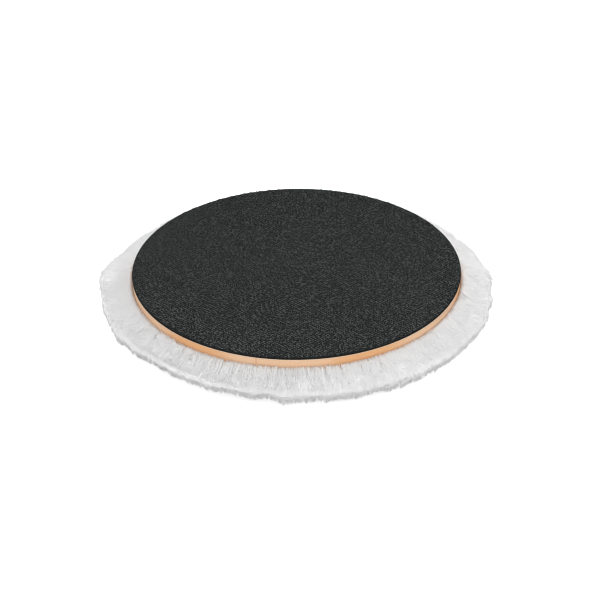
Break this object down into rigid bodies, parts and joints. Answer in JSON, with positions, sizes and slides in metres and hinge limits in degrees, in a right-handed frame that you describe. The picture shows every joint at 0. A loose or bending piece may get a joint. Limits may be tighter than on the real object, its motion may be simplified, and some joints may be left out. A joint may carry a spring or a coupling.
{
  "type": "wool polishing pad",
  "caption": "Round wool polishing pad with a thin foam interface and a loop-faced backing cloth that grips a hook-faced backing plate.",
  "frame": {"origin": "centre of the working face, on the surface that the pad lies on", "axes": "+Z along the pad's axis, from the working face to the loop face; X and Y lie in the working face"},
  "size_m": [0.1792, 0.1792, 0.0178],
  "materials": {
    "loop_cloth": "charcoal warp-knit loop cloth with a brushed nap",
    "bond_film": "translucent hot-melt web, seen only as a hairline",
    "foam": "fine open-cell foam, peach orange, die-cut edge",
    "hide": "tanned skin, suede side towards the foam",
    "wool": "clipped white lambswool"
  },
  "bodies": {
    "root": {"loop_cloth": "loop_cloth", "upper_bond_film": "bond_film", "foam_disc": "foam", "lower_bond_film": "bond_film", "hide_disc": "hide", "wool_pile": "wool"}
  },
  "joints": []
}
